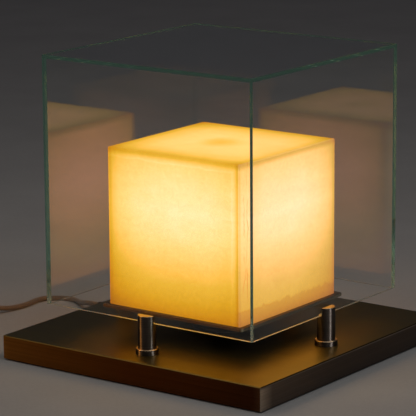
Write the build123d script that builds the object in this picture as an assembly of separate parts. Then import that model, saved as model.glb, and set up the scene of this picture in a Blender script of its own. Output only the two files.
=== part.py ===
"""Table lamp: a glowing stone cube on a tray, under a clear glass case that stands on four notched posts.

Millimetres, +Z up. The origin is the middle of the lamp's footprint, on the surface it stands on.
-Y is the front, +X the right; the mains cord leaves the left side. Each sub-part is written to parts/NODE.step.
"""
from build123d import *
import math
import os

# ---------------------------------------------------------------- driving dimensions
BASE_SIDE = 313.0          # square base slab
BASE_THICK = 23.5
BASE_LIFT = 1.5            # the slab's lower edge above the table
BASE_WALL = 3.0
BASE_BEVEL = 0.8
CASE_SIDE = 250.0          # outside of the glass case, a cube
GLASS = 4.0
CASE_GAP = 30.4            # base top to the glass's lower edge
STONE_SIDE = 159.0         # outside of the stone cube
STONE_WALL = 9.0
STONE_SHIFT = (3.0, -4.5)  # the loose cube stands a little off the tray's middle
TRAY_SIDE = 171.0
TRAY_THICK = 3.0
POST_RADIUS = 9.0
POST_OUT = 124.5           # post axis from the lamp's middle
POST_LIP = 8.0             # the lip's top above the glass's lower edge
RING_RADIUS = 11.2
RING_HEIGHT = 5.5
CORD = 5.5                 # mains cord diameter
CORD_EXIT_Y = 38.0
CORD_EXIT_Z = 9.0

# ---------------------------------------------------------------- levels that follow from them
BASE_TOP = BASE_LIFT + BASE_THICK
ROOF_UNDER = BASE_TOP - BASE_WALL
COVER_LOW, COVER_TOP = 2.5, 4.0
CASE_LOW = BASE_TOP + CASE_GAP
CASE_TOP = CASE_LOW + CASE_SIDE
PAD_THICK = 0.8                       # clear seat pads under the glass
SHELF = CASE_LOW - PAD_THICK
STONE_LOW = CASE_LOW - 0.9
STONE_PAD = 1.0
TRAY_TOP = STONE_LOW - STONE_PAD
TRAY_LOW = TRAY_TOP - TRAY_THICK
SLIDE_GAP = 0.3                       # glass to the lips' flats
FLAT_OUT = CASE_SIDE / 2 + SLIDE_GAP  # the lips' flats from the lamp's middle

COLUMN_SIDE = 30.0
COLUMN_FOOT = 3.0
COLUMN_TOP = 190.0
STRIP = (20.0, 1.6, 126.0)
CHIP = (3.5, 0.7, 2.8)
CHIPS = 9

SIDES = {"front": 270, "right": 0, "back": 90, "left": 180}  # direction of each side, degrees from +X

parts = {}


# ---------------------------------------------------------------- small helpers
def box(low, high):
    """Box between two corners."""
    size = [h - l for l, h in zip(low, high)]
    middle = [(h + l) / 2 for l, h in zip(low, high)]
    return Pos(*middle) * Box(*size)


def rod(x, y, low, high, radius):
    """Upright cylinder between two heights."""
    return Pos(x, y, (low + high) / 2) * Cylinder(radius, high - low)


def lying(axis_dir, start, length, radius, far_radius=None):
    """Cylinder or cone that starts at a point and runs along a direction."""
    plane = Plane(origin=start, z_dir=axis_dir)
    far = radius if far_radius is None else far_radius
    lined = (Align.CENTER, Align.CENTER, Align.MIN)
    if far == radius:
        return plane * Cylinder(radius, length, align=lined)
    return plane * Cone(radius, far, length, align=lined)


def turned(shape, degrees):
    """Shape made at the right side (+X), turned about the lamp's axis to another side."""
    return Rot(0, 0, degrees) * shape


def upright_edges(shape):
    return shape.edges().filter_by(Axis.Z)


def corner_spots(x, y):
    return [(sx * x, sy * y) for sx in (-1, 1) for sy in (-1, 1)]


def group(shapes):
    """Several separate solids in one node."""
    return Compound(children=[s if isinstance(s, Solid) else s.solids()[0] for s in shapes])


def tube(points, diameter):
    """Cord or lead: straight runs joined by arcs as large as their runs allow. Returns solid and length."""
    spots = [Vector(*p) for p in points]
    if len(spots) == 2:
        path = Wire(Line(*spots))
    else:
        radii = []
        for before, here, after in zip(spots, spots[1:], spots[2:]):
            run_in, run_out = here - before, after - here
            half_turn = run_in.get_angle(run_out) / 2
            shorter = min(run_in.length, run_out.length)
            radii.append(0.45 * shorter / math.tan(math.radians(half_turn)))
        print("   arc radii", [round(r) for r in radii])
        path = Wire(FilletPolyline(*spots, radius=radii).edges())
    section = Plane(origin=spots[0], z_dir=spots[1] - spots[0]) * Circle(diameter / 2)
    solid = sweep(section, path=path)
    ideal = math.pi * diameter**2 / 4 * path.length
    print(f"   tube length {path.length:.1f}, volume over section x length {solid.volume / ideal:.4f}")
    return solid, path.length


# ---------------------------------------------------------------- base slab and what closes it
COVER_SPOTS = corner_spots(143, 70) + corner_spots(70, 143)
STEM_SCREW_ANGLES = (60, 180, 300)
STEM_SCREW_OUT = 20.0
SCREW_M6, SCREW_M4, SCREW_M3 = 3.0, 2.0, 1.5  # shank radii
EASE = 0.05                                    # radial room round a screw in its thread


def polar(angle, out):
    return out * math.cos(math.radians(angle)), out * math.sin(math.radians(angle))


def base_shell():
    half = BASE_SIDE / 2
    slab = box((-half, -half, BASE_LIFT), (half, half, BASE_TOP))
    outer = slab.edges().filter_by(Axis.Z) + slab.faces().sort_by(Axis.Z)[-1].edges()
    slab = chamfer(outer, BASE_BEVEL)
    inner = half - BASE_WALL
    shell = slab - box((-inner, -inner, 0), (inner, inner, ROOF_UNDER))
    for angle in SIDES.values():
        shell += rod(*polar(angle, POST_OUT), 12, ROOF_UNDER, 10)
    for x, y in COVER_SPOTS:
        shell += rod(x, y, COVER_TOP, ROOF_UNDER, 4.5)
    for angle in SIDES.values():
        shell -= rod(*polar(angle, POST_OUT), 0, BASE_TOP, SCREW_M6 + 0.3)
    for x, y in COVER_SPOTS:
        shell -= rod(x, y, 0, 14.0, SCREW_M3 + EASE)
    for angle in STEM_SCREW_ANGLES:
        shell -= rod(*polar(angle, STEM_SCREW_OUT), 0, BASE_TOP, SCREW_M4 + 0.2)
    shell -= rod(0, 0, 0, BASE_TOP, 5.0)
    shell -= lying((1, 0, 0), (-half - 1, CORD_EXIT_Y, CORD_EXIT_Z), BASE_WALL + 2, 4.5)
    return shell


def base_cover():
    half = BASE_SIDE / 2 - BASE_WALL - 0.5
    cover = box((-half, -half, COVER_LOW), (half, half, COVER_TOP))
    cover = fillet(upright_edges(cover), 4)
    for x, y in COVER_SPOTS:
        cover -= Pos(x, y, COVER_LOW) * Cone(3.05, 1.55, 1.5, align=(Align.CENTER, Align.CENTER, Align.MIN))
    return cover


def cover_screw(x, y):
    head = Pos(x, y, COVER_LOW) * Cone(3.0, SCREW_M3, 1.5, align=(Align.CENTER, Align.CENTER, Align.MIN))
    return head + rod(x, y, COVER_TOP - 0.01, 13.0, SCREW_M3) - rod(x, y, COVER_LOW, COVER_LOW + 0.9, 0.9)


def foot(x, y):
    disc = rod(x, y, 0, COVER_LOW, 12)
    return fillet(disc.edges().sort_by(Axis.Z)[0], 0.6)


def cap_screw(x, y, under_head, top, shank, head, head_height):
    """Socket screw that points up: its head is below under_head."""
    low = under_head - head_height
    screw = rod(x, y, low, under_head, head) + rod(x, y, under_head - 0.01, top, shank)
    socket = Pos(x, y, low) * extrude(RegularPolygon(shank * 0.95, 6), head_height * 0.55)
    return screw - socket


parts["base_shell"] = base_shell()
parts["base_cover"] = base_cover()
parts["cover_screws"] = group([cover_screw(x, y) for x, y in COVER_SPOTS])
parts["rubber_feet"] = group([foot(x, y) for x, y in corner_spots(122, 122)])


# ---------------------------------------------------------------- posts that carry the glass
def post():
    """Round rod at the right side, its inner part cut away above the shelf."""
    top = CASE_LOW + POST_LIP
    body = rod(POST_OUT, 0, BASE_TOP, top, POST_RADIUS)
    body -= box((FLAT_OUT - 30, -15, SHELF), (FLAT_OUT, 15, top + 1))
    body = chamfer(body.faces().sort_by(Axis.Z)[-1].edges(), 0.4)
    return body - rod(POST_OUT, 0, BASE_TOP - 1, 41.0, SCREW_M6 + EASE)


def foot_ring():
    ring = rod(POST_OUT, 0, BASE_TOP, BASE_TOP + RING_HEIGHT, RING_RADIUS)
    ring = chamfer(ring.edges().filter_by(GeomType.CIRCLE).sort_by(Axis.Z)[-1], 0.6)
    return ring - rod(POST_OUT, 0, 0, 60, POST_RADIUS + 0.02)


def seat_pad():
    disc = rod(POST_OUT, 0, SHELF, CASE_LOW, POST_RADIUS - 0.6)
    return disc & box((0, -15, 0), (FLAT_OUT - 0.3, 15, CASE_TOP))


for side, angle in SIDES.items():
    parts[f"post_{side}"] = turned(post(), angle)
    parts[f"foot_ring_{side}"] = turned(foot_ring(), angle)
parts["seat_pads"] = group([turned(seat_pad(), angle) for angle in SIDES.values()])
parts["post_screws"] = group(
    [cap_screw(*polar(angle, POST_OUT), 12.0, 40.0, SCREW_M6, 5.0, 6.0) for angle in SIDES.values()]
)


# ---------------------------------------------------------------- glass case
def case_panels():
    half = CASE_SIDE / 2
    inner = half - GLASS
    roof_low = CASE_TOP - GLASS
    arris = 0.4
    front = box((-half, -half, CASE_LOW), (half, -inner, roof_low))
    outer = front.edges().filter_by(Axis.Z).group_by(Axis.Y)[0]
    front = chamfer(outer + front.faces().sort_by(Axis.Z)[0].edges().filter_by(Axis.X), arris)
    right = box((inner, -inner, CASE_LOW), (half, inner, roof_low))
    right = chamfer(right.faces().sort_by(Axis.Z)[0].edges().filter_by(Axis.Y), arris)
    top = box((-half, -half, roof_low), (half, half, CASE_TOP))
    top = chamfer(top.faces().sort_by(Axis.Z)[-1].edges(), arris)
    return {
        "case_front": front,
        "case_back": turned(front, 180),
        "case_right": right,
        "case_left": turned(right, 180),
        "case_top": top,
    }


parts.update(case_panels())


# ---------------------------------------------------------------- stone cube: five mitred slabs
def stone_slabs():
    half = STONE_SIDE / 2
    inner = half - STONE_WALL
    cube = box((-half, -half, 0), (half, half, STONE_SIDE))
    cube = fillet(cube.edges().filter_by(Axis.Z) + cube.faces().sort_by(Axis.Z)[-1].edges(), 1.6)
    shell = cube - box((-inner, -inner, -1), (inner, inner, STONE_SIDE - STONE_WALL))
    low = -1.0
    middle = STONE_SIDE - half
    far = half * 2

    def side_wedge():
        """Everything nearer to the right face than to any other face of the cube but the lower one."""
        plan = Polyline((0, 0), (far, -far), (far, far), close=True)
        upright = Pos(0, 0, low) * extrude(make_face(plan), far * 2)
        slope = Polyline((0, middle), (far, middle + far), (far, low), (0, low), close=True)
        under_slope = extrude(Plane.XZ * make_face(slope), far, both=True)
        return upright & under_slope

    def roof_wedge():
        """Upside-down pyramid from the cube's middle: nearer to the top face than to any side face."""
        rim = [(far * sx, far * sy, middle + far) for sx, sy in ((-1, -1), (1, -1), (1, 1), (-1, 1))]
        outlines = [rim] + [[(0, 0, middle), a, b] for a, b in zip(rim, rim[1:] + rim[:1])]
        return Solid(Shell([Face(Wire(Polyline(*o, close=True).edges())) for o in outlines]))

    place = Pos(*STONE_SHIFT, STONE_LOW)
    slabs = {f"stone_{s}": place * (shell & turned(side_wedge(), angle)) for s, angle in SIDES.items()}
    slabs["stone_top"] = place * (shell & roof_wedge())
    return slabs


def stone_pad(x, y):
    pad = Pos(x + STONE_SHIFT[0], y + STONE_SHIFT[1], TRAY_TOP + STONE_PAD / 2) * Box(7, 7, STONE_PAD)
    return fillet(upright_edges(pad), 1.5)


parts.update(stone_slabs())
STONE_PAD_OUT = STONE_SIDE / 2 - 6.0
parts["stone_pads"] = group([stone_pad(x, y) for x, y in corner_spots(STONE_PAD_OUT, STONE_PAD_OUT)])


# ---------------------------------------------------------------- tray and its stem
FLANGE_RADIUS, FLANGE = 30.0, 4.0
COLUMN_SCREW_OUT = 25.0


def tray():
    half = TRAY_SIDE / 2
    plate = box((-half, -half, TRAY_LOW), (half, half, TRAY_TOP))
    plate = fillet(upright_edges(plate), 3)
    plate = chamfer(plate.faces().sort_by(Axis.Z)[-1].edges(), 0.5)
    plate -= rod(0, 0, TRAY_LOW - 1, TRAY_TOP + 1, 5.5)
    for angle in STEM_SCREW_ANGLES:
        x, y = polar(angle, STEM_SCREW_OUT)
        plate -= rod(x, y, TRAY_LOW, TRAY_TOP, SCREW_M4 + EASE)
        plate -= Pos(x, y, TRAY_TOP - 1.1) * Cone(2.05, 4.05, 2.2)
    for x, y in corner_spots(COLUMN_SCREW_OUT, COLUMN_SCREW_OUT):
        plate -= rod(x, y, TRAY_LOW, TRAY_TOP, SCREW_M3 + EASE)
    return plate


def tray_stem():
    low_flange = rod(0, 0, BASE_TOP, BASE_TOP + FLANGE, FLANGE_RADIUS)
    high_flange = rod(0, 0, TRAY_LOW - FLANGE, TRAY_LOW, FLANGE_RADIUS)
    stem = rod(0, 0, BASE_TOP, TRAY_LOW, 13) + low_flange + high_flange - rod(0, 0, 0, 80, 5.5)
    for angle in STEM_SCREW_ANGLES:
        stem -= rod(*polar(angle, STEM_SCREW_OUT), 0, BASE_TOP + FLANGE, SCREW_M4 + EASE)
        stem -= rod(*polar(angle, STEM_SCREW_OUT), TRAY_LOW - FLANGE, TRAY_LOW, SCREW_M4 + EASE)
    return stem


def tray_screw(x, y):
    head = Pos(x, y, TRAY_TOP - 1.1) * Cone(2.0, 4.0, 2.2)
    screw = head + rod(x, y, TRAY_LOW - FLANGE, TRAY_TOP - 2.19, SCREW_M4)
    return screw - rod(x, y, TRAY_TOP - 1.2, TRAY_TOP, 1.25)


parts["tray"] = tray()
parts["tray_stem"] = tray_stem()
parts["tray_screws"] = group([tray_screw(*polar(a, STEM_SCREW_OUT)) for a in STEM_SCREW_ANGLES])
parts["stem_screws"] = group(
    [
        cap_screw(*polar(a, STEM_SCREW_OUT), ROOF_UNDER, BASE_TOP + FLANGE - 0.3, SCREW_M4, 3.5, 3.0)
        for a in STEM_SCREW_ANGLES
    ]
)


# ---------------------------------------------------------------- light column inside the cube
def light_column():
    half, foot_half = COLUMN_SIDE / 2, 30.0
    foot_plate = box((-foot_half, -foot_half, TRAY_TOP), (foot_half, foot_half, TRAY_TOP + COLUMN_FOOT))
    foot_plate = fillet(upright_edges(foot_plate), 3)
    column = box((-half, -half, TRAY_TOP), (half, half, COLUMN_TOP))
    column = fillet(upright_edges(column), 1)
    column += foot_plate
    column -= rod(0, 0, 0, COLUMN_TOP + 1, 7)
    for x, y in corner_spots(COLUMN_SCREW_OUT, COLUMN_SCREW_OUT):
        column -= rod(x, y, TRAY_TOP, TRAY_TOP + COLUMN_FOOT, SCREW_M3 + EASE)
    return column


def light_strip():
    """Circuit board with light chips, on the column's right face."""
    wide, thick, tall = STRIP
    low = (COLUMN_TOP + TRAY_TOP + COLUMN_FOOT - tall) / 2
    face = COLUMN_SIDE / 2
    strip = box((face, -wide / 2, low), (face + thick, wide / 2, low + tall))
    chip_wide, chip_thick, chip_tall = CHIP
    for i in range(CHIPS):
        z = low + tall * (i + 0.5) / CHIPS
        strip += box(
            (face + thick, -chip_wide / 2, z - chip_tall / 2),
            (face + thick + chip_thick, chip_wide / 2, z + chip_tall / 2),
        )
    return strip


def light_cap():
    plate = Pos(0, 0, COLUMN_TOP + 1.5) * Box(38, 38, 3)
    plate = fillet(upright_edges(plate), 3)
    return plate + rod(0, 0, COLUMN_TOP - 8, COLUMN_TOP + 1, 6.95)


def column_screw(x, y):
    top = TRAY_TOP + COLUMN_FOOT
    screw = rod(x, y, top, top + 2, 2.8) + rod(x, y, TRAY_LOW + 0.2, top + 0.01, SCREW_M3)
    return screw - rod(x, y, top + 1, top + 2, 1.0)


parts["light_column"] = light_column()
for side, angle in SIDES.items():
    parts[f"light_strip_{side}"] = turned(light_strip(), angle)
parts["light_cap"] = light_cap()
parts["column_screws"] = group(
    [column_screw(x, y) for x, y in corner_spots(COLUMN_SCREW_OUT, COLUMN_SCREW_OUT)]
)


# ---------------------------------------------------------------- wiring inside the base
def driver():
    block = box((-70, 34, 7), (50, 70, ROOF_UNDER))
    return fillet(upright_edges(block), 2)


def terminal_block():
    block = box((-112, 24, COVER_TOP), (-98, 52, COVER_TOP + 12))
    for y in (29, 38, 47):
        block -= rod(-105, y, 12, 20, 2)
    return block


def cord_clamp():
    """Saddle over the cord just inside the wall."""
    saddle = box((-138, CORD_EXIT_Y - 13, COVER_TOP), (-128, CORD_EXIT_Y + 13, 8))
    saddle += box((-138, CORD_EXIT_Y - 6, COVER_TOP), (-128, CORD_EXIT_Y + 6, 14))
    saddle -= lying((1, 0, 0), (-139, CORD_EXIT_Y, CORD_EXIT_Z), 12, CORD / 2 + 0.02)
    for y in (-9.5, 9.5):
        saddle -= rod(-133, CORD_EXIT_Y + y, 0, 9, SCREW_M3 + EASE)
    return saddle


def clamp_screw(y):
    screw = rod(-133, y, 8, 10, 2.8) + rod(-133, y, COVER_TOP, 8.01, SCREW_M3)
    return screw - rod(-133, y, 9, 10, 1.0)


parts["driver"] = driver()
parts["terminal_block"] = terminal_block()
parts["cord_clamp"] = cord_clamp()
parts["clamp_screws"] = group([clamp_screw(CORD_EXIT_Y - 9.5), clamp_screw(CORD_EXIT_Y + 9.5)])
RELIEF_LIP_IN = -BASE_SIDE / 2 + BASE_WALL + 2
mains_in = [(RELIEF_LIP_IN, CORD_EXIT_Y, CORD_EXIT_Z), (-112, CORD_EXIT_Y, CORD_EXIT_Z)]
parts["lead_mains"], _ = tube(mains_in, CORD)
parts["lead_driver"], _ = tube([(-98, 38, 10), (-90, 38, 10), (-80, 46, 13), (-70, 46, 13)], 3.0)
LAMP_LEAD = [(50, 52, 13), (66, 52, 13), (66, 20, 13), (46, 0, 12), (12, 0, 12), (0, 0, 19), (0, 0, 70)]
parts["lead_lamp"], _ = tube(LAMP_LEAD, 4.0)


# ---------------------------------------------------------------- mains cord: relief, runs, coil, switch, plug
WALL_OUT = -BASE_SIDE / 2
RELIEF_END = WALL_OUT - 32.0
SWITCH = (-277.0, -78.0, 7.0)      # middle of the in-line switch, at the cord's height there
SWITCH_LONG, SWITCH_WIDE, SWITCH_HIGH = 60.0, 24.0, 15.0
COIL_IN, COIL_PITCH, COIL_TURNS, COIL_LAYERS = 22.0, 5.6, 7.25, 2
COIL_OUT = COIL_IN + COIL_PITCH * COIL_TURNS / COIL_LAYERS
COIL_MIDDLE = (-334.0, -116.0)
FLOOR_Z = CORD / 2 + 0.05          # the cord's middle where it lies on the table
COIL_TOP_Z = FLOOR_Z + 5.55
PLUG_X = COIL_MIDDLE[0] - COIL_OUT
PLUG_Z = 7.0
PLUG_TAIL = COIL_MIDDLE[1] + 38.0  # where the plug's tail begins, along Y

CORD_LEAD = [
    (RELIEF_END, CORD_EXIT_Y, CORD_EXIT_Z),
    (-203, 38, 9.0),
    (-213, 42, 6.8),
    (-224, 49, 3.8),
    (-235.5, 57, 2.8),
    (-248.5, 59, 2.8),
    (-260.5, 54, 2.8),
    (-269, 44, 2.8),
    (-272, 31.5, 2.8),
    (-269.5, 18.5, 2.8),
    (-268.5, 3, 2.8),
    (-271.5, -14, 3.4),
    (-277, -31, 7.0),
    (-277, -48, 7.0),
]
CORD_LINK = [
    (-277, -108, 7.0),
    (-277, -120, 7.0),
    (-277.5, -139, 3.2),
    (-290, -155.5, 2.8),
    (-310, -159.2, 2.8),
    (COIL_MIDDLE[0], COIL_MIDDLE[1] - COIL_OUT, FLOOR_Z),
]
CORD_TAIL = [
    (PLUG_X, COIL_MIDDLE[1], COIL_TOP_Z),
    (PLUG_X, COIL_MIDDLE[1] + 12, COIL_TOP_Z),
    (PLUG_X, COIL_MIDDLE[1] + 26, PLUG_Z),
    (PLUG_X, PLUG_TAIL, PLUG_Z),
]


def strain_relief():
    """Moulded bush: lip inside the wall, flange outside, long tapered tail."""
    start = (WALL_OUT, CORD_EXIT_Y, CORD_EXIT_Z)
    flange = lying((-1, 0, 0), start, 2.0, 6.5)
    flange = fillet(flange.edges().sort_by(Axis.X)[0], 0.8)
    tail = lying((-1, 0, 0), (WALL_OUT - 2, CORD_EXIT_Y, CORD_EXIT_Z), 30.0, 5.2, 3.6)
    neck = lying((1, 0, 0), start, BASE_WALL, 4.45)
    lip = lying((1, 0, 0), (WALL_OUT + BASE_WALL, CORD_EXIT_Y, CORD_EXIT_Z), 2.0, 4.9)
    return flange + tail + neck + lip


def cord_coil():
    """Outer shape of the wound turns, two layers high."""
    radius = CORD / 2
    low, high = 0.05, COIL_TOP_Z + radius
    x, y = COIL_MIDDLE
    ring = rod(x, y, low, high, COIL_OUT + radius) - rod(x, y, low - 1, high + 1, COIL_IN - radius)
    return fillet(ring.edges().filter_by(GeomType.CIRCLE), 2.0)


def switch_block(low, high):
    x, y, _ = SWITCH
    block = Pos(x, y, (low + high) / 2) * Box(SWITCH_WIDE, SWITCH_LONG, high - low)
    return fillet(upright_edges(block), 9)


SWITCH_SPLIT = 7.5
PIVOT_Z = 12.2
ROCKER_TILT = 7.0


def switch_base():
    base = switch_block(0, SWITCH_SPLIT)
    base = fillet(base.faces().sort_by(Axis.Z)[0].edges(), 1.5)
    for y in (-22, 22):
        base -= rod(SWITCH[0], SWITCH[1] + y, -1, 4, 2.3)
        base -= rod(SWITCH[0], SWITCH[1] + y, 3, 9, 1.3)
    return base


def switch_cover():
    x, y, _ = SWITCH
    cover = switch_block(SWITCH_SPLIT, SWITCH_HIGH)
    cover = fillet(cover.faces().sort_by(Axis.Z)[-1].edges(), 3)
    cover -= box((x - 6.2, y - 9.4, 8.6), (x + 6.2, y + 9.4, 20))
    cover -= lying((1, 0, 0), (x - 7.5, y, PIVOT_Z), 15.0, 1.06)
    for dy in (-22, 22):
        cover -= rod(x, y + dy, 7, 11, 1.3)
    return cover


def switch_rocker():
    """Rocker with two finger faces, pressed down at its front end."""
    outline = Polyline((-8.7, -1.5), (-8.7, 3.4), (0, 2.2), (8.7, 3.4), (8.7, -1.5), (0, -3.2), close=True)
    key = extrude(Plane.YZ * make_face(outline), 5.9, both=True)
    key = fillet(key.edges().filter_by(Axis.X).group_by(Axis.Z)[-1], 0.5)
    key += lying((1, 0, 0), (-7.3, 0, 0), 14.6, 1.0)
    return Pos(SWITCH[0], SWITCH[1], PIVOT_Z) * Rot(ROCKER_TILT, 0, 0) * key


def switch_screw(y):
    x = SWITCH[0]
    screw = rod(x, y, 2.0, 4.0, 2.25) + rod(x, y, 3.99, 10.5, 1.25)
    return screw - rod(x, y, 2.0, 3.0, 0.8)


def plug_body():
    """Flat two-pin plug lying on its wide face, its moulded tail towards the cord."""
    tail = lying((0, 1, 0), (0, 0, PLUG_Z), 20.0, 3.6, 5.2)
    outline = [(-6.5, 18), (-17.5, 30), (-17.5, 55), (17.5, 55), (17.5, 30), (6.5, 18)]
    body = extrude(make_face(Polyline(*outline, close=True)), 2 * PLUG_Z - 0.1)
    body = fillet((Pos(0, 0, 0.05) * body).edges(), 2.0)
    return Pos(PLUG_X, PLUG_TAIL, 0) * (body + tail)


def plug_pin(side):
    pin = lying((0, 1, 0), (PLUG_X + side * 9.5, PLUG_TAIL + 55.0, PLUG_Z), 19.0, 2.0)
    return fillet(pin.edges().sort_by(Axis.Y)[-1], 1.0)


parts["strain_relief"] = strain_relief()
parts["cord_lead"], lead_length = tube(CORD_LEAD, CORD)
parts["cord_link"], link_length = tube(CORD_LINK, CORD)
parts["cord_coil"] = cord_coil()
parts["cord_tail"], tail_length = tube(CORD_TAIL, CORD)
parts["switch_base"] = switch_base()
parts["switch_cover"] = switch_cover()
parts["switch_rocker"] = switch_rocker()
parts["switch_screws"] = group([switch_screw(SWITCH[1] - 22), switch_screw(SWITCH[1] + 22)])
parts["plug_body"] = plug_body()
parts["plug_pins"] = group([plug_pin(-1), plug_pin(1)])

coil_length = math.pi * (COIL_IN + COIL_OUT) * COIL_TURNS
cord_length = lead_length + SWITCH_LONG + link_length + coil_length + tail_length
print(f"cord length {cord_length:.0f}, of which coil {coil_length:.0f}")

# ---------------------------------------------------------------- write the sub-parts
os.makedirs("parts", exist_ok=True)
for name, shape in parts.items():
    shape.label = name
    export_step(shape, f"parts/{name}.step")
print(len(parts), "sub-parts")
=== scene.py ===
"""Looks of the glowing stone cube lamp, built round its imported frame. Metres, +Z up, -Y the front."""
import math
import bmesh
import bpy
from mathutils import Matrix, Vector


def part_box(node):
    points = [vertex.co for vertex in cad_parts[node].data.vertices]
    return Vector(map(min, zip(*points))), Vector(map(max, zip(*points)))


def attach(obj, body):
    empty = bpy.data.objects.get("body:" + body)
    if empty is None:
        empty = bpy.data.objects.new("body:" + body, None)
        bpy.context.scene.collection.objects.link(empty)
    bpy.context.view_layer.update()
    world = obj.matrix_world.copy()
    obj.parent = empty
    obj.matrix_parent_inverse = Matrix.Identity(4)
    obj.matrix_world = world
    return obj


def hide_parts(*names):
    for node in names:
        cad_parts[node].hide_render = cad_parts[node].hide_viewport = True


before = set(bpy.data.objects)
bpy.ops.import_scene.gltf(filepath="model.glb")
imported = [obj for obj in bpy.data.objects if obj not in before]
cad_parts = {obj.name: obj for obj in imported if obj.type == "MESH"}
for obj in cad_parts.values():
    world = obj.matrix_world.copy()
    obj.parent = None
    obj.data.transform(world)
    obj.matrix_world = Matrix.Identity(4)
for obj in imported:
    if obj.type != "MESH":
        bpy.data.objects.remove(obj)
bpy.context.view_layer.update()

MM = 0.001
SIDES = ("front", "right", "back", "left")


# ---------------------------------------------------------------- helpers
def add_object(name, data):
    made = bpy.data.objects.new(name, data)
    bpy.context.collection.objects.link(made)
    return made


def towards(azimuth, elevation):
    """The direction from the lamp to a viewpoint, given in degrees. Azimuth 0 is the front, 90 the right."""
    a, e = math.radians(azimuth), math.radians(elevation)
    return Vector((math.sin(a) * math.cos(e), -math.cos(a) * math.cos(e), math.sin(e)))


def dress(nodes, material):
    for name in nodes:
        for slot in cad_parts[name].material_slots:
            slot.material = material


class Tree:
    """A material's node tree, with short calls for the nodes that these materials share."""

    def __init__(self, name):
        self.material = bpy.data.materials.new(name)
        self.material.use_nodes = True
        self.nodes = self.material.node_tree.nodes
        self.links = self.material.node_tree.links
        self.shader = self.nodes["Principled BSDF"]
        self.output = self.nodes["Material Output"]

    def node(self, kind, **settings):
        made = self.nodes.new(kind)
        for key, value in settings.items():
            setattr(made, key, value)
        return made

    def feed(self, socket, value):
        """Links the socket to another node's output, or sets it to a plain value."""
        if isinstance(value, bpy.types.NodeSocket):
            self.links.new(value, socket)
        else:
            socket.default_value = value

    def fill(self, made, **values):
        """Feeds a node's inputs by name: Base_Color stands for Base Color."""
        for key, value in values.items():
            self.feed(made.inputs[key.replace("_", " ")], value)
        return made

    def set(self, **values):
        """Feeds the Principled shader."""
        self.fill(self.shader, **values)

    def math(self, operation, a, b=0.0):
        made = self.node("ShaderNodeMath", operation=operation)
        self.feed(made.inputs[0], a)
        self.feed(made.inputs[1], b)
        return made.outputs[0]

    def product(self, first, *others):
        for other in others:
            first = self.math("MULTIPLY", first, other)
        return first

    def weighted(self, *terms):
        """The sum of the terms, each given as (value, weight)."""
        total, *others = [self.math("MULTIPLY", value, weight) for value, weight in terms]
        for other in others:
            total = self.math("ADD", total, other)
        return total

    def inside(self, half, value):
        """How far the value lies inside -half..half."""
        return self.math("SUBTRACT", half, self.math("ABSOLUTE", value))

    def gap(self, a, b):
        """How far apart two values are."""
        return self.math("ABSOLUTE", self.math("SUBTRACT", a, b))

    def sway(self, noise, reach):
        """A noise turned into a shift to both sides, reach wide in all."""
        return self.math("MULTIPLY", self.math("SUBTRACT", noise, 0.5), reach)

    def choose(self, factor, a, b):
        """The number a where the factor is 0 and b where it is 1."""
        made = self.node("ShaderNodeMix", data_type="FLOAT")
        return self.fill(made, Factor=factor, A=a, B=b).outputs[0]

    def span(self, value, low, high, to_low=0.0, to_high=1.0, smooth=False):
        """Maps low..high to to_low..to_high, clamped."""
        made = self.node("ShaderNodeMapRange", interpolation_type="SMOOTHSTEP" if smooth else "LINEAR")
        self.fill(made, Value=value, From_Min=low, From_Max=high, To_Min=to_low, To_Max=to_high)
        return made.outputs[0]

    def vector(self, operation, a, b):
        made = self.node("ShaderNodeVectorMath", operation=operation)
        self.feed(made.inputs[0], a)
        self.feed(made.inputs[1], b)
        return made.outputs[0]

    def split(self, vector):
        made = self.node("ShaderNodeSeparateXYZ")
        self.feed(made.inputs[0], vector)
        return made.outputs[0], made.outputs[1], made.outputs[2]

    def place(self, scale=(1, 1, 1)):
        """Object coordinates in metres, scaled."""
        return self.vector("MULTIPLY", self.node("ShaderNodeTexCoord").outputs["Object"], scale)

    def facing(self):
        """The surface's own direction along X, Y and Z."""
        return self.split(self.node("ShaderNodeTexCoord").outputs["Normal"])

    def on_sides(self):
        """1 on faces that look left or right, 0 on the others."""
        return self.math("GREATER_THAN", self.math("ABSOLUTE", self.facing()[0]), 0.5)

    def upright(self):
        """A tangent that runs up every side, with a slight lean that makes it run along Y on level faces."""
        made = self.node("ShaderNodeCombineXYZ")
        return self.fill(made, Y=0.15, Z=1.0).outputs[0]

    def noise(self, vector, scale, detail=3.0, roughness=0.5, distortion=0.0):
        made = self.node("ShaderNodeTexNoise")
        self.fill(made, Vector=vector, Scale=scale, Detail=detail, Roughness=roughness, Distortion=distortion)
        return made.outputs["Fac"]

    def ramp(self, value, stops):
        """Colour ramp. A stop is (position, colour) or (position, number)."""
        made = self.node("ShaderNodeValToRGB")
        elements = made.color_ramp.elements
        while len(elements) < len(stops):
            elements.new(0.5)
        for element, (position, colour) in zip(elements, stops):
            element.position = position
            rgb = (colour,) * 3 if isinstance(colour, (int, float)) else colour
            element.color = (*rgb, 1.0)
        self.feed(made.inputs[0], value)
        return made.outputs[0]

    def blend(self, factor, a, b, mode="MIX"):
        """The colour a where the factor is 0, and where it is 1 the colour b, or a changed by b."""
        made = self.node("ShaderNodeMix", data_type="RGBA", blend_type=mode)
        a, b = ((*c, 1) if isinstance(c, tuple) else c for c in (a, b))
        return self.fill(made, Factor=factor, A=a, B=b).outputs["Result"]

    def tinted(self, colour, by):
        return self.blend(1.0, colour, by, "MULTIPLY")

    def bump(self, height, strength, distance):
        """Bumps the shader's surface and returns the finished material."""
        made = self.fill(self.node("ShaderNodeBump"), Strength=strength, Distance=distance, Height=height)
        self.set(Normal=made.outputs[0])
        return self.material


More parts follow.
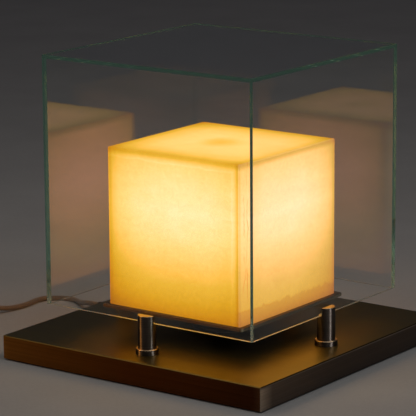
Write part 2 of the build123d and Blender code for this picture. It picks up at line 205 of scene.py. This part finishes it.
# ---------------------------------------------------------------- camera
CAMERA_AZIMUTH, CAMERA_ELEVATION, CAMERA_ROLL = 36.36, 12.72, 0.39  # degrees
CAMERA_DISTANCE = 2.471
CAMERA_AIM = Vector((-0.0113, -0.0085, 0.1456))
CAMERA_LENS, SENSOR_WIDTH = 214.8, 36.0


def make_camera():
    data = bpy.data.cameras.new("camera")
    data.lens, data.sensor_width = CAMERA_LENS, SENSOR_WIDTH
    camera = add_object("camera", data)
    back = towards(CAMERA_AZIMUTH, CAMERA_ELEVATION)
    camera.location = CAMERA_AIM + back * CAMERA_DISTANCE
    level = (-back).to_track_quat("-Z", "Y").to_matrix()
    camera.rotation_euler = (level @ Matrix.Rotation(-math.radians(CAMERA_ROLL), 3, "Z")).to_euler()
    bpy.context.scene.camera = camera


make_camera()
bpy.context.scene.view_settings.view_transform = "Standard"
# Light that runs inside a pane is mirrored some 40 times before it comes out at an edge.
bpy.context.scene.cycles.max_bounces = 72
bpy.context.scene.cycles.glossy_bounces = 64

# ---------------------------------------------------------------- mains cord
CORD = 5.5 * MM
COIL_IN, COIL_PITCH, COIL_TURNS, COIL_LAYERS = 0.022, 0.0056, 7.25, 2
COIL_OUT = COIL_IN + COIL_PITCH * COIL_TURNS / COIL_LAYERS
COIL_X, COIL_Y = -0.334, -0.116
FLOOR_Z = CORD / 2 + 0.05 * MM  # the middle of a cord that lies on the table
COIL_TOP_Z = FLOOR_Z + 5.55 * MM  # and of one that lies on the coil's lower layer
PLUG_X, PLUG_Z = COIL_X - COIL_OUT, 0.007
POINTS_PER_TURN = 16
CLIMB = 50 / 360  # turns over which the cord climbs to the next layer
BRAID_STEPS = 1800 / 1.1  # diagonals of the braid along the cord: one for every 1.1 mm of 1800 mm
BRAID_STARTS = 12  # and round it

CORD_LEAD = [
    (-0.1885, 0.038, 0.009),
    (-0.203, 0.038, 0.009),
    (-0.213, 0.042, 0.0068),
    (-0.224, 0.049, 0.0038),
    (-0.2355, 0.057, 0.0028),
    (-0.2485, 0.059, 0.0028),
    (-0.2605, 0.054, 0.0028),
    (-0.269, 0.044, 0.0028),
    (-0.272, 0.0315, 0.0028),
    (-0.2695, 0.0185, 0.0028),
    (-0.2685, 0.003, 0.0028),
    (-0.2715, -0.014, 0.0034),
    (-0.277, -0.031, 0.007),
    (-0.277, -0.048, 0.007),
]
CORD_LINK = [
    (-0.277, -0.108, 0.007),
    (-0.277, -0.120, 0.007),
    (-0.2775, -0.139, 0.0032),
    (-0.290, -0.1555, 0.0028),
    (-0.310, -0.1592, 0.0028),
    (COIL_X, COIL_Y - COIL_OUT, FLOOR_Z),
]
CORD_TAIL = [
    (PLUG_X, COIL_Y, COIL_TOP_Z),
    (PLUG_X, COIL_Y + 0.012, COIL_TOP_Z),
    (PLUG_X, COIL_Y + 0.026, PLUG_Z),
    (PLUG_X, COIL_Y + 0.038, PLUG_Z),
]


def coil_points():
    """Control points of the wound turns: in along the lower layer, out again along the upper one."""
    half_step = math.pi / POINTS_PER_TURN
    outside = 1 / math.cos(half_step)  # the smooth line passes inside its control points
    per_layer = COIL_TURNS / COIL_LAYERS
    points = []
    for i in range(1, int(COIL_TURNS * POINTS_PER_TURN)):
        turn = i / POINTS_PER_TURN
        angle = -math.pi / 2 - 2 * math.pi * turn
        radius = COIL_IN + COIL_PITCH * abs(per_layer - turn)
        up = min(max((turn - per_layer) / CLIMB + 0.5, 0), 1)
        points.append((
            COIL_X + radius * outside * math.cos(angle),
            COIL_Y + radius * outside * math.sin(angle),
            FLOOR_Z + (COIL_TOP_Z - FLOOR_Z) * up,
        ))
    return points


def braid_material():
    """Fine twill braid in taupe: crossing diagonals round the cord, with a fleck and soft fuzz."""
    t = Tree("cord_braid")
    u, v, _ = t.split(t.node("ShaderNodeTexCoord").outputs["UV"])
    along = t.math("MULTIPLY", u, BRAID_STEPS)
    around = t.math("MULTIPLY", v, BRAID_STARTS)
    one = t.math("SINE", t.math("MULTIPLY", t.math("ADD", along, around), math.pi))
    other = t.math("SINE", t.math("MULTIPLY", t.math("SUBTRACT", along, around), math.pi))
    weave = t.math("MAXIMUM", one, other)
    fleck = t.noise(t.place(), 900, 2)
    shade = t.math("ADD", t.math("MULTIPLY", weave, 0.35), fleck)
    t.set(
        Base_Color=t.ramp(t.span(shade, -0.2, 1.1), [
            (0.0, (0.10, 0.062, 0.036)), (0.55, (0.24, 0.16, 0.095)), (1.0, (0.36, 0.255, 0.16))]),
        Roughness=t.span(fleck, 0.3, 0.7, 0.75, 0.95),
        Sheen_Weight=0.35,
    )
    return t.bump(t.math("ADD", weave, fleck), 0.5, 0.3 * MM)


def make_cord():
    points = CORD_LEAD + CORD_LINK + coil_points() + CORD_TAIL
    curve = bpy.data.curves.new("cord", "CURVE")
    curve.dimensions = "3D"
    curve.bevel_depth = CORD / 2
    curve.bevel_resolution = 4
    curve.resolution_u = 6
    curve.use_fill_caps = True
    spline = curve.splines.new("NURBS")
    spline.points.add(len(points) - 1)
    for control, place in zip(spline.points, points):
        control.co = (*place, 1.0)
    spline.order_u = 3
    spline.use_endpoint_u = True
    cord = add_object("cord", curve)
    curve.materials.append(braid_material())
    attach(cord, "lamp_base")
    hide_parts("cord_lead", "cord_link", "cord_coil", "cord_tail")


make_cord()

# ---------------------------------------------------------------- metals
BASE_HALF, _, BASE_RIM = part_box("base_shell")[1]
# Lines along the base's rim: each is at full strength up to the first distance, and gone at the second.
TOP_EDGE_LINE = 0.3 * MM, 1.0 * MM  # dark, inward from the left and right edges of the top
SIDE_DARK_LINE = 0.5 * MM, 1.0 * MM  # dark, down from the top of the left and right sides
SIDE_GREY_LINE = 1.4 * MM, 2.4 * MM  # grey, under that one


def brushed(t, along=3.0, across=900.0):
    """Brush lines: along X on the top and on the front and back, along Y on the left and right sides."""
    lengthwise_x = t.noise(t.place((along, across, across)), 1.0, 4, 0.65)
    lengthwise_y = t.noise(t.place((across, along, across)), 1.0, 4, 0.65)
    return t.choose(t.on_sides(), lengthwise_x, lengthwise_y)


def bronze_tone(t, lines, dark, light):
    """The plating's colour: brush lines over a cloudy patina. Returns the colour and the tone behind it."""
    cloud = t.noise(t.place(), 9, 4, 0.6)
    tone = t.weighted((cloud, 0.6), (lines, 0.5))
    return t.ramp(t.span(tone, 0.3, 0.8), [(0.0, dark), (1.0, light)]), tone


def base_material():
    """Brushed bronze with light painted into its colour: a lighter, golden top, painted to mirror the lamp's
    glow more brightly; reddish front and back, brightest at the left end, and grey brown left and right
    sides, partly patina and partly painted reflection of the room; painted highlights at the upright edges;
    and a dark and a grey line along the sides' rims."""
    t = Tree("satin_bronze")
    lines = brushed(t)
    # Painted light: the top gets a lighter, golden copy of the bronze, so that it mirrors the lamp's glow
    # more brightly than the darker flanks do.
    top, tone = bronze_tone(t, lines, (0.19, 0.135, 0.040), (0.35, 0.25, 0.062))
    x, y, z = t.split(t.place())
    top = t.blend(t.span(t.inside(BASE_HALF, x), *TOP_EDGE_LINE, 1.0, 0.0), top, (0.035, 0.024, 0.012))
    # Painted reflection of the room on the front and back: reddish, partly patina, brightest at the left end
    # and darker to the right, with painted highlights at both upright edges.
    front = t.ramp(t.span(x, -BASE_HALF, BASE_HALF), [
        (0.0, (0.56, 0.21, 0.035)), (0.02, (0.45, 0.16, 0.024)), (0.2, (0.32, 0.105, 0.013)),
        (0.5, (0.20, 0.053, 0.007)), (0.97, (0.10, 0.029, 0.006)), (1.0, (0.17, 0.07, 0.03))])
    # The left and right sides: grey brown, partly patina and partly painted reflection, with a painted
    # highlight along their front upright edge.
    side = t.ramp(t.span(y, -BASE_HALF, BASE_HALF), [
        (0.0, (0.70, 0.56, 0.42)), (0.02, (0.55, 0.43, 0.32)), (0.06, (0.20, 0.147, 0.11)),
        (0.4, (0.12, 0.088, 0.066)), (1.0, (0.115, 0.083, 0.062))])
    below_rim = t.math("SUBTRACT", BASE_RIM, z)
    side = t.blend(t.span(below_rim, *SIDE_GREY_LINE, 1.0, 0.0), side, (0.36, 0.29, 0.225))
    side = t.blend(t.span(below_rim, *SIDE_DARK_LINE, 1.0, 0.0), side, (0.02, 0.015, 0.012))
    flank = t.blend(t.on_sides(), front, side)
    # Brush lines over the flanks' painted reflections and highlights.
    lined_painted_sheen = t.tinted(flank, t.ramp(lines, [(0.25, 0.6), (0.75, 1.0)]))
    t.set(
        Base_Color=t.blend(t.span(t.facing()[2], 0.3, 0.9), lined_painted_sheen, top),
        Metallic=1.0,
        Roughness=t.span(tone, 0.3, 0.85, 0.28, 0.42),
        Anisotropic=0.5,
        Tangent=t.upright(),
    )
    return t.bump(lines, 0.12, 0.2 * MM)


def tray_material():
    """The same bronze, painted nearly black on top and underneath as painted shade under the stone, with a
    rim painted reddish at the front and back and paler on the left and right as painted reflection.
    """
    t = Tree("tray_bronze")
    lines = brushed(t)
    # Painted shade: the faces on top and underneath are a near black copy of the bronze, for the shade under
    # the stone.
    top, tone = bronze_tone(t, lines, (0.035, 0.02, 0.009), (0.07, 0.042, 0.02))
    # Painted reflection: the rim is reddish at the front and back and paler grey brown on the left and right.
    rim = t.blend(t.on_sides(), (0.27, 0.135, 0.028), (0.50, 0.42, 0.27))
    lined_painted_sheen = t.tinted(rim, t.ramp(lines, [(0.25, 0.75), (0.75, 1.0)]))
    t.set(
        Base_Color=t.blend(t.span(t.math("ABSOLUTE", t.facing()[2]), 0.4, 0.9), lined_painted_sheen, top),
        Metallic=1.0,
        Roughness=t.span(tone, 0.3, 0.85, 0.24, 0.4),
        Anisotropic=0.5,
        Tangent=t.upright(),
    )
    return t.bump(lines, 0.12, 0.2 * MM)


def turned_material():
    """Turned bar: fine tool rings round it, which draw lights out into upright streaks, and upward ends
    painted a light golden copy of the dark bronze, as painted glow of the lamp that they mirror.
    """
    t = Tree("post_bronze")
    end = t.span(t.facing()[2], 0.4, 0.9)
    rings = t.noise(t.place((4, 4, 2500)), 1.0, 2, 0.5)
    marks = t.noise(t.place(), 160, 3, 0.6)
    tone = t.weighted((rings, 0.6), (marks, 0.4))
    side = t.ramp(t.span(tone, 0.35, 0.65), [(0.0, (0.09, 0.074, 0.063)), (1.0, (0.145, 0.118, 0.10))])
    t.set(
        # Painted light: the upward ends get a light golden copy of the bronze, the sides a dark one.
        Base_Color=t.blend(end, side, (0.72, 0.50, 0.28)),
        Metallic=1.0,
        Roughness=t.choose(end, t.span(marks, 0.3, 0.75, 0.38, 0.46), t.span(marks, 0.3, 0.75, 0.28, 0.36)),
        Anisotropic=t.choose(end, 0.95, 0.6),
        Tangent=t.upright(),
    )
    return t.bump(rings, 0.08, 0.1 * MM)


dress(["base_shell"], base_material())
dress(["tray"], tray_material())
dress([f"post_{s}" for s in SIDES] + [f"foot_ring_{s}" for s in SIDES], turned_material())

# ---------------------------------------------------------------- stone
stone_low, stone_high = (Vector(c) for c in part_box("stone_top"))
STONE_HALF = (stone_high.x - stone_low.x) / 2
STONE_MIDDLE = (
    (stone_low.x + stone_high.x) / 2, (stone_low.y + stone_high.y) / 2, stone_high.z - STONE_HALF)
SIDE_SKIN = 1.2 * MM  # a spot nearer than this to the plane of a side counts as on that side
TOP_SKIN = 0.9 * MM  # the same for the top
UNEVEN_MEAN = 0.182  # what cloud, grain and crystal add to the level on average
VEINS = ((7.0 * MM, 3.0, 20 * MM), (12.0 * MM, 11.0, 16 * MM))  # from the near edge, seed, reach of the sway
GLOW = 3.0  # the emission's strength, which the colours below are divided by
LIT_STONE = [  # red, green and blue of the light at each level: the dimmer, the redder
    (0.00, (0.22, 0.02, 0.000)),
    (0.18, (0.50, 0.165, 0.000)),
    (0.28, (0.68, 0.27, 0.000)),
    (0.39, (0.80, 0.39, 0.010)),
    (0.50, (0.94, 0.51, 0.038)),
    (0.58, (1.15, 0.60, 0.086)),
    (0.65, (1.33, 0.675, 0.145)),
    (0.75, (1.57, 0.785, 0.24)),
    (0.85, (1.78, 0.89, 0.37)),
    (0.95, (2.00, 1.0, 0.52)),
]


def side_level(t, p, on_right):
    """How bright each spot of the four sides is. They rise from the foot to above the middle, and dim towards
    the upright edges, less so within half a face of the near one, between the front and the right face. The
    slabs' borders are darker, and a thin bright streak follows them except on the right face."""
    half = STONE_HALF
    x, y, z = t.split(p)
    from_near = t.math("MAXIMUM", t.math("SUBTRACT", half, x), t.math("ADD", half, y))
    near_half = t.math("LESS_THAN", from_near, half)
    to_upright = t.math("MAXIMUM", t.inside(half, x), t.inside(half, y))
    to_top = t.math("SUBTRACT", half, z)

    rise = t.ramp(t.span(z, -half, half), [
        (0.0, 0.24), (0.03, 0.30), (0.1, 0.40), (0.2, 0.50), (0.35, 0.66), (0.5, 0.81), (0.65, 0.885),
        (0.8, 0.825), (0.92, 0.73), (1.0, 0.66)])
    inward = t.span(to_upright, 0, half)
    far_fade = t.ramp(inward, [(0.0, 0.60), (0.06, 0.65), (0.16, 0.78), (0.4, 0.91), (0.7, 0.98), (1.0, 1.0)])
    near_fade = t.ramp(inward, [(0.0, 0.88), (0.2, 0.90), (0.45, 0.98), (1.0, 1.0)])
    fade = t.choose(near_half, far_fade, near_fade)

    far_band = t.span(to_upright, 2.5 * MM, 6 * MM, 0.86, 1.0, smooth=True)
    front_band = t.span(to_upright, 1.5 * MM, 6.5 * MM, 0.72, 1.0, smooth=True)
    right_band = t.span(to_upright, 0.0, 2.5 * MM, 0.86, 1.0, smooth=True)
    band = t.choose(near_half, far_band, t.choose(on_right, front_band, right_band))
    top_band = t.span(to_top, 1.0 * MM, 7.5 * MM, 0.68, 1.0, smooth=True)

    to_edge = t.math("MINIMUM", to_top, t.choose(near_half, 1.0, to_upright))
    swaying = t.math("ADD", to_edge, t.sway(t.noise(p, 60, 4, 0.6), 5 * MM))
    streak = t.span(t.gap(swaying, 8.5 * MM), 0.2 * MM, 1.6 * MM, 1.07, 1.0, smooth=True)
    return t.product(rise, fade, band, top_band, t.choose(on_right, streak, 1.0))


def top_level(t, p):
    """How bright each spot of the top is: dimmer towards its edges and over the light column's cap."""
    half = STONE_HALF
    x, y, _ = t.split(p)
    across = t.ramp(t.span(x, -half, half), [
        (0.0, 0.56), (0.03, 0.63), (0.08, 0.80), (0.2, 0.96), (0.35, 1.0), (0.8, 1.0), (0.92, 0.93),
        (1.0, 0.74)])
    along = t.ramp(t.span(y, -half, half), [
        (0.0, 0.62), (0.03, 0.70), (0.1, 0.85), (0.2, 0.95), (0.32, 1.0), (0.68, 1.0), (0.8, 0.93),
        (0.92, 0.76), (1.0, 0.48)])
    out = t.math("SQRT", t.math("ADD", t.math("MULTIPLY", x, x), t.math("MULTIPLY", y, y)))
    away = t.math("ADD", out, t.sway(t.noise(p, 40, 3), 14 * MM))
    cap_shadow = t.span(away, 2 * MM, 30 * MM, 0.80, 1.0, smooth=True)
    return t.product(across, along, cap_shadow, 0.70)


def stone_veins(t, p):
    """Thin red-brown veins beside the near upright edge of the right face, and the ragged edge of a darker
    bed at that face's foot. Returns the veins and the bed, each from 0 to 1."""
    half = STONE_HALF
    _, y, z = t.split(p)
    from_near = t.math("ADD", half, y)
    patches = t.span(t.noise(p, 55, 2), 0.4, 0.62)
    veins = 0.0
    for offset, seed, reach in VEINS:
        upward = t.vector("ADD", t.vector("MULTIPLY", p, (0, 0, 1)), (seed, seed, 0))
        line = t.math("ADD", t.sway(t.noise(upward, 27, 5, 0.6), reach), offset)
        vein = t.span(t.gap(from_near, line), 0.2 * MM, 1.3 * MM, 1.0, 0.0, smooth=True)
        veins = t.math("MAXIMUM", veins, vein)
    veins = t.product(veins, patches, t.span(z, -0.8 * half, -0.6 * half))
    ragged = t.noise(t.vector("MULTIPLY", p, (0, 1, 0)), 75, 5, 0.62)
    bed_top = t.math("ADD", t.math("MULTIPLY", ragged, 20 * MM), 3 * MM)
    under = t.math("SUBTRACT", bed_top, t.math("ADD", z, half))
    shore = t.span(t.math("ABSOLUTE", under), 0.2 * MM, 1.2 * MM, 0.7, 0.0, smooth=True)
    shore = t.math("MULTIPLY", shore, t.span(from_near, 45 * MM, 70 * MM, 1.0, 0.15))
    return t.math("MAXIMUM", veins, shore), t.span(under, 0.0, 1.0 * MM)


def stone_material():
    """Alabaster lit from inside: each spot has a level of brightness and each level a colour, which is then
    tinted on the right, left and back faces and in the veins."""
    t = Tree("alabaster")
    p = t.vector("SUBTRACT", t.place(), STONE_MIDDLE)
    x, y, z = t.split(p)
    on_right = t.math("GREATER_THAN", x, STONE_HALF - SIDE_SKIN)
    on_left = t.math("LESS_THAN", x, SIDE_SKIN - STONE_HALF)
    on_back = t.math("GREATER_THAN", y, STONE_HALF - SIDE_SKIN)
    on_top = t.math("GREATER_THAN", z, STONE_HALF - TOP_SKIN)
    level = t.choose(on_top, side_level(t, p, on_right), top_level(t, p))

    cloud = t.noise(p, 24, 4, 0.6, 0.7)
    bedding = t.noise(t.vector("MULTIPLY", p, (1, 1, 4)), 38, 5, 0.6, 0.9)
    cloud = t.weighted((cloud, 0.5), (bedding, 0.5))
    grain = t.noise(p, 150, 5, 0.65, 1.2)
    crystal = t.noise(p, 850, 2, 0.5)
    uneven = t.weighted((cloud, 0.20), (grain, 0.15), (crystal, 0.06))
    level = t.math("MULTIPLY", level, t.math("ADD", uneven, 1 - UNEVEN_MEAN))

    veins, bed = stone_veins(t, p)
    foot = t.ramp(t.span(z, -STONE_HALF, STONE_HALF), [
        (0.0, 1.0), (0.05, 1.0), (0.1, 0.97), (0.2, 0.87), (0.3, 0.835)])
    foot = t.math("MULTIPLY", foot, t.choose(bed, 1.2, 0.97))
    level = t.math("MULTIPLY", level, t.choose(on_right, 1.0, foot))

    lit = t.ramp(level, [(at, tuple(c / GLOW for c in colour)) for at, colour in LIT_STONE])
    above_foot = t.span(z, -STONE_HALF, -0.5 * STONE_HALF, 0.5, 1.0)
    paler = t.blend(1.0, lit, (0.0, 0.0073, 0.022), "ADD")
    lit = t.blend(t.math("MULTIPLY", on_right, above_foot), lit, paler)
    lit = t.blend(on_left, lit, t.tinted(lit, (1.3, 1.06, 0.88)))
    lit = t.blend(on_back, lit, t.tinted(lit, (1.2, 1.0, 0.88)))
    lit = t.blend(t.product(veins, on_right, 0.85), lit, t.tinted(lit, (0.86, 0.62, 0.42)))
    t.set(
        Base_Color=t.blend(t.span(grain, 0.35, 0.7), (0.13, 0.08, 0.02), (0.18, 0.12, 0.035)),
        Roughness=t.span(grain, 0.3, 0.7, 0.38, 0.52),
        Specular_IOR_Level=0.35,
        Emission_Color=lit,
        Emission_Strength=GLOW,
    )
    return t.bump(t.math("ADD", grain, crystal), 0.12, 0.4 * MM)


dress([f"stone_{s}" for s in SIDES] + ["stone_top"], stone_material())

# ---------------------------------------------------------------- glass case
case_low, case_high = (Vector(c) for c in (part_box("case_front")[0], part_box("case_top")[1]))
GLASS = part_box("case_top")[1][2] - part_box("case_top")[0][2]
ARRIS = 0.35 * MM
GROUND_SLOT = 3  # the lower rim is ground, not polished

CLEAR_WAY = (0.92, 0.94, 0.93, 1)  # what is left of light that the case lets straight through
GLASS_TINT = (0.08, 0.50, 0.31, 1)  # what the metal traces in the glass leave of red, green and blue
GLASS_TINT_DENSITY = 5.0
GLASS_HAZE = (0.55, 0.78, 0.64, 1)  # lamp light that the glass scatters, seen along the whole of a pane
GLASS_HAZE_STRENGTH = 0.15


def glass_material(name, rough, clean=(1.0, 1.0, 1.0)):
    """Float glass: faint cleaning marks, and the green that shows along its edges. Diffuse and shadow rays
    pass straight through, so that the lamp lights what is outside its case."""
    t = Tree(name)
    wipe = t.noise(t.place((9, 9, 30)), 1.0, 3, 0.6, 0.8)
    tint = t.ramp(wipe, [(0.4, clean), (0.75, tuple(c * 0.96 for c in clean))])
    t.set(Base_Color=tint, Transmission_Weight=1.0, IOR=1.47, Roughness=rough)

    rays = t.node("ShaderNodeLightPath").outputs
    clear = t.fill(t.node("ShaderNodeBsdfTransparent"), Color=CLEAR_WAY).outputs[0]
    surface = t.shader.outputs[0]
    for ray in ("Is Diffuse Ray", "Is Shadow Ray"):
        mix = t.node("ShaderNodeMixShader")
        for socket, value in zip(mix.inputs, (rays[ray], surface, clear)):
            t.feed(socket, value)
        surface = mix.outputs[0]

    tinting = t.fill(t.node("ShaderNodeVolumeAbsorption"), Color=GLASS_TINT, Density=GLASS_TINT_DENSITY)
    haze = t.fill(t.node("ShaderNodeEmission"), Color=GLASS_HAZE, Strength=GLASS_HAZE_STRENGTH)
    both = t.node("ShaderNodeAddShader")
    t.feed(both.inputs[0], tinting.outputs[0])
    t.feed(both.inputs[1], haze.outputs[0])
    t.fill(t.output, Surface=surface, Volume=both.outputs[0])
    return t.material


def make_case():
    """One bonded body of glass: outer walls and roof, inner walls and ceiling, and the open lower rim."""
    mesh = bpy.data.meshes.new("glass_case")
    bm = bmesh.new()
    low, high = case_low, case_high

    def ring(inset, z):
        corners = ((low.x + inset, low.y + inset), (high.x - inset, low.y + inset),
                   (high.x - inset, high.y - inset), (low.x + inset, high.y - inset))
        return [bm.verts.new((x, y, z)) for x, y in corners]

    outer_low, outer_high = ring(0, low.z), ring(0, high.z)
    inner_low, inner_high = ring(GLASS, low.z), ring(GLASS, high.z - GLASS)
    for i in range(4):
        j = (i + 1) % 4
        bm.faces.new((outer_low[i], outer_low[j], outer_high[j], outer_high[i]))
        bm.faces.new((inner_low[j], inner_low[i], inner_high[i], inner_high[j]))
        bm.faces.new((outer_low[j], outer_low[i], inner_low[i], inner_low[j]))
    bm.faces.new(outer_high)
    bm.faces.new(list(reversed(inner_high)))
    outside = set(outer_low + outer_high)
    arrises = [e for e in bm.edges if set(e.verts) <= outside or set(e.verts) <= set(inner_low)]
    bmesh.ops.bevel(bm, geom=arrises, offset=ARRIS, segments=2, profile=0.5, affect="EDGES")
    bmesh.ops.recalc_face_normals(bm, faces=bm.faces)
    for face in bm.faces:
        n = [abs(c) for c in face.normal]
        on_rim = face.normal.z < -0.5 and face.calc_center_median().z < low.z + GLASS
        face.material_index = GROUND_SLOT if on_rim else n.index(max(n))
    bm.to_mesh(mesh)
    bm.free()
    case = add_object("glass_case", mesh)
    polished = glass_material("clear_glass", 0.0)
    for _ in range(GROUND_SLOT):  # one slot for each direction that panes face
        mesh.materials.append(polished)
    # The ground rim's warm tint is painted glow of the lamp light that it scatters.
    mesh.materials.append(glass_material("ground_glass", 0.42, (1.0, 0.86, 0.58)))
    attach(case, "glass_case")
    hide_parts(*[f"case_{s}" for s in SIDES], "case_top")


make_case()

# ---------------------------------------------------------------- small parts
CHIP_STEP = 16.75 * MM, 16.95 * MM  # out from the column's middle, between the board's face and the chips'


def plastic(name, dark, light, rough, grain=1800):
    t = Tree(name)
    fine = t.noise(t.place(), grain, 3, 0.5)
    cloud = t.noise(t.place(), 40, 2, 0.5)
    t.set(
        Base_Color=t.ramp(t.span(cloud, 0.35, 0.65), [(0.0, dark), (1.0, light)]),
        Roughness=t.span(fine, 0.3, 0.7, rough - 0.06, rough + 0.08),
    )
    return t.bump(fine, 0.15, 0.1 * MM)


def plain_metal(name, dark, light, rough, stretch=(60, 60, 900)):
    t = Tree(name)
    lines = t.noise(t.place(stretch), 1.0, 3, 0.6)
    t.set(
        Base_Color=t.ramp(t.span(lines, 0.3, 0.7), [(0.0, dark), (1.0, light)]),
        Metallic=1.0,
        Roughness=t.span(lines, 0.3, 0.7, rough - 0.05, rough + 0.1),
    )
    return t.bump(lines, 0.08, 0.1 * MM)


def clear_silicone():
    t = Tree("clear_silicone")
    haze = t.noise(t.place(), 400, 3, 0.5)
    t.set(
        Base_Color=t.ramp(haze, [(0.3, (0.55, 0.50, 0.42)), (0.7, (0.72, 0.68, 0.60))]),
        Transmission_Weight=0.6,
        Roughness=t.span(haze, 0.3, 0.7, 0.2, 0.35),
        IOR=1.41,
    )
    return t.material


def board_material():
    """White circuit board whose light chips glow warm."""
    t = Tree("light_board")
    x, y, _ = t.split(t.place())
    out = t.math("MAXIMUM", t.math("ABSOLUTE", x), t.math("ABSOLUTE", y))
    chip = t.span(out, *CHIP_STEP)
    fine = t.noise(t.place(), 500, 2)
    board = t.ramp(fine, [(0.3, (0.70, 0.69, 0.64)), (0.7, (0.82, 0.81, 0.76))])
    t.set(
        Base_Color=t.blend(chip, board, (0.95, 0.72, 0.30)),
        Roughness=t.span(fine, 0.3, 0.7, 0.35, 0.5),
        Emission_Color=(1.0, 0.62, 0.27, 1),
        Emission_Strength=t.math("ADD", t.math("MULTIPLY", chip, 9.0), 0.25),
    )
    return t.material


dress([f"light_strip_{s}" for s in SIDES], board_material())
dress(["light_column"], plain_metal("heat_sink", (0.50, 0.50, 0.51), (0.70, 0.70, 0.71), 0.35))
dress(["light_cap"], plastic("cap_plastic", (0.60, 0.57, 0.50), (0.72, 0.69, 0.62), 0.5))
dress(["seat_pads", "stone_pads"], clear_silicone())
dress(["base_cover"], plastic("black_steel", (0.012, 0.012, 0.013), (0.03, 0.03, 0.032), 0.45, 2500))
dress(["rubber_feet"], plastic("black_rubber", (0.012, 0.012, 0.012), (0.028, 0.027, 0.026), 0.75, 1200))
dress(["tray_stem"], plastic("stem_steel", (0.018, 0.016, 0.014), (0.04, 0.035, 0.03), 0.4, 2200))
dress(["cover_screws", "post_screws", "stem_screws", "tray_screws", "column_screws", "clamp_screws",
       "switch_screws"],
      plain_metal("zinc_steel", (0.42, 0.42, 0.43), (0.62, 0.62, 0.64), 0.3, (900, 900, 900)))
dress(["driver", "cord_clamp", "terminal_block"],
      plastic("driver_case", (0.66, 0.66, 0.64), (0.78, 0.78, 0.76), 0.45))
dress(["lead_mains", "lead_driver", "lead_lamp"],
      plastic("lead_sheath", (0.60, 0.59, 0.56), (0.74, 0.73, 0.70), 0.4))
dress(["strain_relief", "switch_base", "switch_cover", "plug_body"],
      plastic("fitting_plastic", (0.075, 0.052, 0.036), (0.11, 0.078, 0.055), 0.42))
dress(["switch_rocker"], plastic("rocker_plastic", (0.03, 0.022, 0.017), (0.05, 0.037, 0.03), 0.2))
dress(["plug_pins"], plain_metal("nickel_pins", (0.60, 0.57, 0.52), (0.75, 0.72, 0.66), 0.18, (60, 900, 900)))

# ---------------------------------------------------------------- floor and light
FLOOR_REACH = 12.0
LIGHT_AIM = Vector((0, 0, 0.15))  # about the middle of the lamp
# The strips make the bright lines on the posts. The glass and the base would mirror them as bars.
STRIP_LIT = [f"{part}_{s}" for part in ("post", "foot_ring") for s in SIDES] + ["tray"]


def make_floor():
    """A pale floor, quite matt, so that it mirrors none of the lights."""
    mesh = bpy.data.meshes.new("floor")
    far = FLOOR_REACH
    mesh.from_pydata([(-far, -far, 0), (far, -far, 0), (far, far, 0), (-far, far, 0)], [], [(0, 1, 2, 3)])
    floor = add_object("floor", mesh)
    t = Tree("floor")
    mottle = t.noise(t.place(), 7, 4, 0.55)
    fine = t.noise(t.place(), 260, 3, 0.6)
    tone = t.weighted((mottle, 0.6), (fine, 0.4))
    t.set(
        Base_Color=t.ramp(tone, [(0.35, (0.47, 0.455, 0.435)), (0.65, (0.53, 0.515, 0.49))]),
        Roughness=t.span(fine, 0.3, 0.7, 0.55, 0.65),
        Specular_IOR_Level=0.0,
    )
    mesh.materials.append(t.bump(fine, 0.05, 0.2 * MM))


def softbox(name, azimuth, elevation, distance, size, power, colour=(1, 1, 1), lit_nodes=()):
    """An area light. With lit_nodes it lights and shows in these nodes only, by light linking."""
    data = bpy.data.lights.new(name, "AREA")
    data.shape, data.size, data.size_y = "RECTANGLE", *size
    data.energy, data.color = power, colour
    light = add_object(name, data)
    back = towards(azimuth, elevation)
    light.location = LIGHT_AIM + back * distance
    light.rotation_euler = (-back).to_track_quat("-Z", "Y").to_euler()
    if lit_nodes:
        linked = bpy.data.collections.new(f"{name}_lit")
        for node in lit_nodes:
            linked.objects.link(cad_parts[node])
        light.light_linking.receiver_collection = linked


def make_world():
    """Dim room: a little lighter overhead than at the horizon."""
    world = bpy.data.worlds.new("world")
    bpy.context.scene.world = world
    world.use_nodes = True
    nodes, links = world.node_tree.nodes, world.node_tree.links
    direction = nodes.new("ShaderNodeTexCoord")
    split = nodes.new("ShaderNodeSeparateXYZ")
    ramp = nodes.new("ShaderNodeValToRGB")
    ramp.color_ramp.elements[0].color = (0.024, 0.0235, 0.026, 1)
    ramp.color_ramp.elements[1].color = (0.055, 0.054, 0.060, 1)
    links.new(direction.outputs["Generated"], split.inputs[0])
    links.new(split.outputs["Z"], ramp.inputs[0])
    links.new(ramp.outputs[0], nodes["Background"].inputs["Color"])


make_floor()
make_world()
softbox("key", 80, 50, 1.4, (0.7, 0.7), 2.1, (0.95, 0.97, 1.0))
softbox("fill", -40, 45, 1.5, (0.7, 0.7), 1.4, (1.0, 0.88, 0.74))
softbox("top", 30, 80, 1.6, (0.9, 0.9), 1.8)
softbox("right_strip", 97, 18, 1.4, (0.16, 0.7), 9.5, (0.96, 0.97, 1.0), STRIP_LIT)
softbox("left_strip", -47, 18, 1.4, (0.12, 0.7), 8.5, (1.0, 0.46, 0.10), STRIP_LIT)
